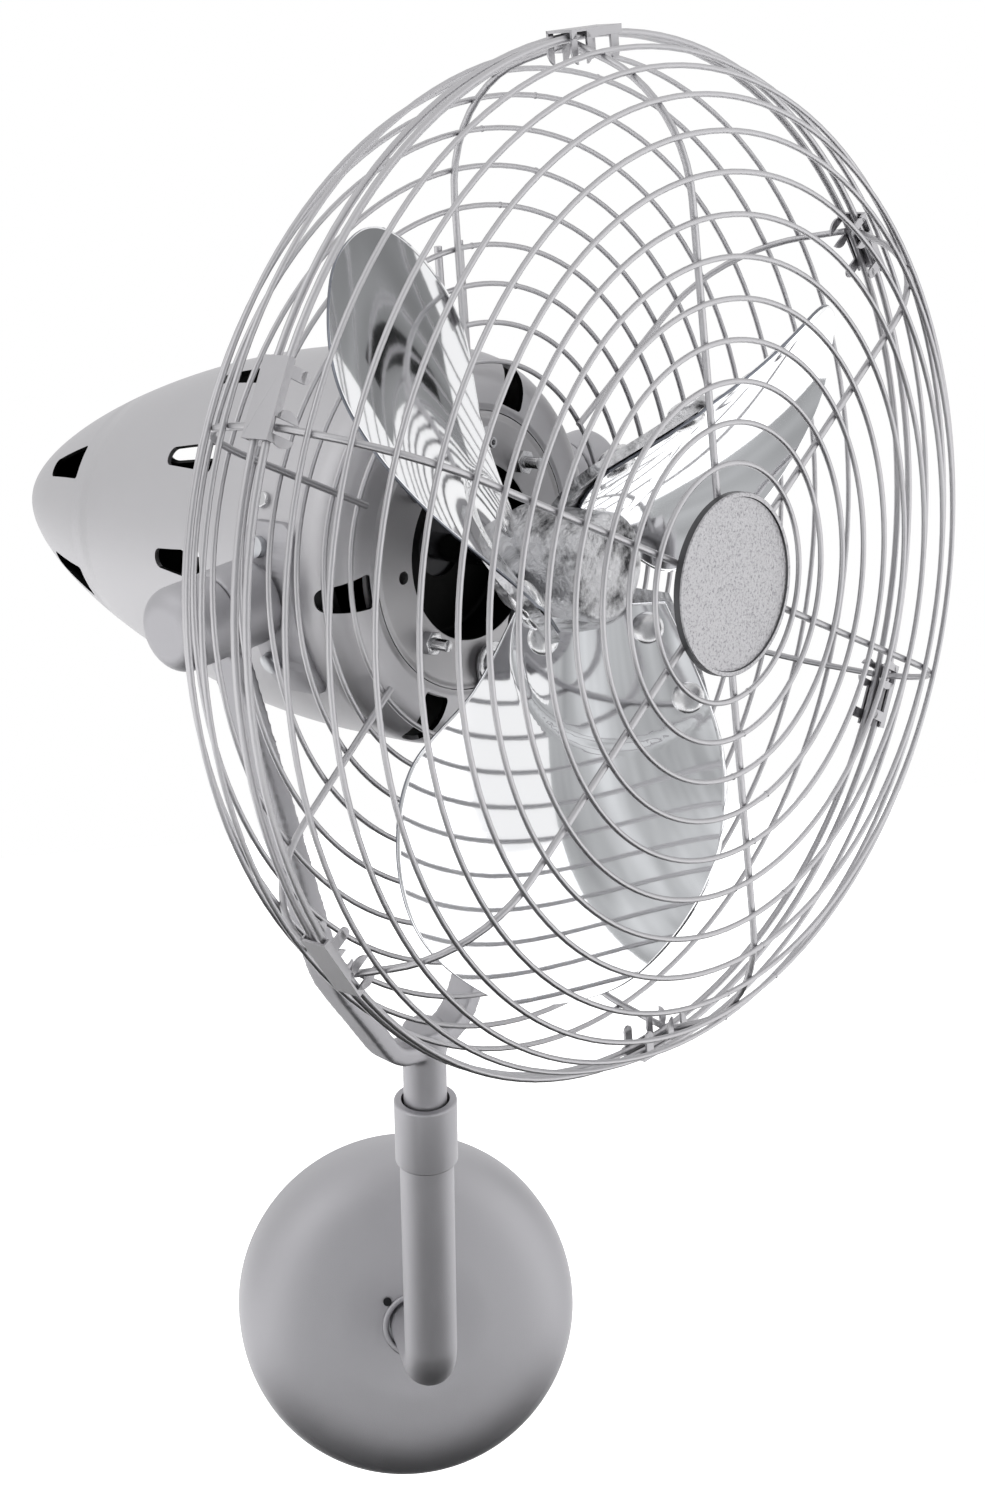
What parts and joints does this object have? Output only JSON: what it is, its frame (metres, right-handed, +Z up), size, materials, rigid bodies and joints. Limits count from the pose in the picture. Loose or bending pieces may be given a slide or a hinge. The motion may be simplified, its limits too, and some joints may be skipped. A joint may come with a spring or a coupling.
{
  "type": "wall mounted fan",
  "caption": "Wall mounted fan with a round wire cage, twisted bright blades and a bullet-shaped motor housing, carried by a forked yoke that swivels on a bent tube arm from a domed wall canopy.",
  "frame": {"origin": "centre of the canopy's seat on the wall, midway between the bracket's two screw slots", "axes": "+Y into the wall, +Z up, +X to the right of someone facing the wall; the head stands in the pose of the picture, turned 40.6 degrees to the right and 7.9 degrees nose-up from square to the swivel axis"},
  "size_m": [0.4156, 0.5584, 0.6982],
  "materials": {
    "nickel": "satin nickel plate, smooth, low sheen",
    "wire_nickel": "satin nickel plated wire",
    "shell_nickel": "satin nickel, spun sheet with fine turning marks",
    "blade_chrome": "polished bright metal",
    "cast_aluminium": "as cast, buffed, a little uneven",
    "bright_steel": "bright plated fasteners",
    "dark_steel": "blackened steel",
    "zinc_steel": "zinc plated, dull",
    "copper_wire": "enamelled winding wire",
    "nylon": "matt black",
    "badge_metal": "brushed disc",
    "clip_steel": "spring steel, satin"
  },
  "bodies": {
    "wall_mount": {"wall_bracket": "zinc_steel", "canopy": "nickel", "canopy_screws": "dark_steel", "arm_lock_nuts": "zinc_steel", "arm_tube": "nickel", "swivel_collar": "nickel", "swivel_bushing": "nylon"},
    "fork": {"thrust_washer": "nylon", "swivel_ring": "dark_steel", "yoke": "nickel"},
    "head": {"badge_rivet": "zinc_steel", "bracket_screws": "bright_steel", "earth_stud": "bright_steel", "friction_washers": "nylon", "front_bearing": "dark_steel", "front_guard": "wire_nickel", "front_plate": "shell_nickel", "guard_badge": "badge_metal", "guard_screws": "bright_steel", "guard_washers": "bright_steel", "housing_screws": "bright_steel", "motor_housing": "shell_nickel", "motor_nuts": "bright_steel", "motor_studs": "bright_steel", "rear_bearing": "dark_steel", "rear_guard": "wire_nickel", "rear_plate": "zinc_steel", "stator_core": "dark_steel", "stator_windings": "copper_wire", "tilt_bracket_left": "nickel", "tilt_bracket_right": "nickel", "tilt_stud_left": "bright_steel", "tilt_stud_right": "bright_steel"},
    "rotor": {"rotor_core": "dark_steel", "motor_shaft": "bright_steel", "fan_hub": "cast_aluminium", "hub_set_screw": "dark_steel", "blade_rivets": "bright_steel", "blade_1": "blade_chrome", "blade_2": "blade_chrome", "blade_3": "blade_chrome"},
    "knob_left": {"knob_left": "nickel"},
    "knob_right": {"knob_right": "nickel"},
    "clip_1": {"guard_clip_1": "clip_steel"},
    "clip_2": {"guard_clip_2": "clip_steel"},
    "clip_3": {"guard_clip_3": "clip_steel"},
    "clip_4": {"guard_clip_4": "clip_steel"},
    "clip_5": {"guard_clip_5": "clip_steel"},
    "clip_6": {"guard_clip_6": "clip_steel"}
  },
  "joints": [
    {"name": "yoke_swivel", "type": "hinge", "parent": "wall_mount", "child": "fork", "pos_m": [0, -0.2035, 0.15034], "axis": [0, -0.3891, 0.9212], "range_deg": [-130.6, 49.4]},
    {"name": "head_tilt", "type": "hinge", "parent": "fork", "child": "head", "pos_m": [-0.00527, -0.30901, 0.41591], "axis": [0.7593, 0.5995, 0.2532], "range_deg": [-45, 20]},
    {"name": "rotor_spin", "type": "hinge", "parent": "head", "child": "rotor", "pos_m": [-0.00527, -0.30901, 0.41591], "axis": [0.6446, -0.7463, -0.166], "continuous": true},
    {"name": "knob_left_turn", "type": "hinge", "parent": "head", "child": "knob_left", "pos_m": [-0.0916, -0.37717, 0.38712], "axis": [-0.7593, -0.5995, -0.2532], "range_deg": [0, 270]},
    {"name": "knob_right_turn", "type": "hinge", "parent": "head", "child": "knob_right", "pos_m": [0.08106, -0.24085, 0.44471], "axis": [0.7593, 0.5995, 0.2532], "range_deg": [0, 270]},
    {"name": "clip_1_swing", "type": "hinge", "parent": "head", "child": "clip_1", "pos_m": [0.06124, -0.45514, 0.59794], "axis": [-0.7624, -0.6113, -0.2122], "range_deg": [0, 40]},
    {"name": "clip_2_swing", "type": "hinge", "parent": "head", "child": "clip_2", "pos_m": [0.20586, -0.31631, 0.53541], "axis": [-0.4304, -0.5337, 0.7279], "range_deg": [0, 40]},
    {"name": "clip_3_swing", "type": "hinge", "parent": "head", "child": "clip_3", "pos_m": [0.2178, -0.261, 0.33317], "axis": [0.332, 0.0776, 0.9401], "range_deg": [0, 40]},
    {"name": "clip_4_swing", "type": "hinge", "parent": "head", "child": "clip_4", "pos_m": [0.08511, -0.34453, 0.19347], "axis": [0.7624, 0.6113, 0.2122], "range_deg": [0, 40]},
    {"name": "clip_5_swing", "type": "hinge", "parent": "head", "child": "clip_5", "pos_m": [-0.05951, -0.48336, 0.256], "axis": [0.4304, 0.5337, -0.7279], "range_deg": [0, 40]},
    {"name": "clip_6_swing", "type": "hinge", "parent": "head", "child": "clip_6", "pos_m": [-0.07145, -0.53866, 0.45824], "axis": [-0.332, -0.0776, -0.9401], "range_deg": [0, 40]}
  ]
}
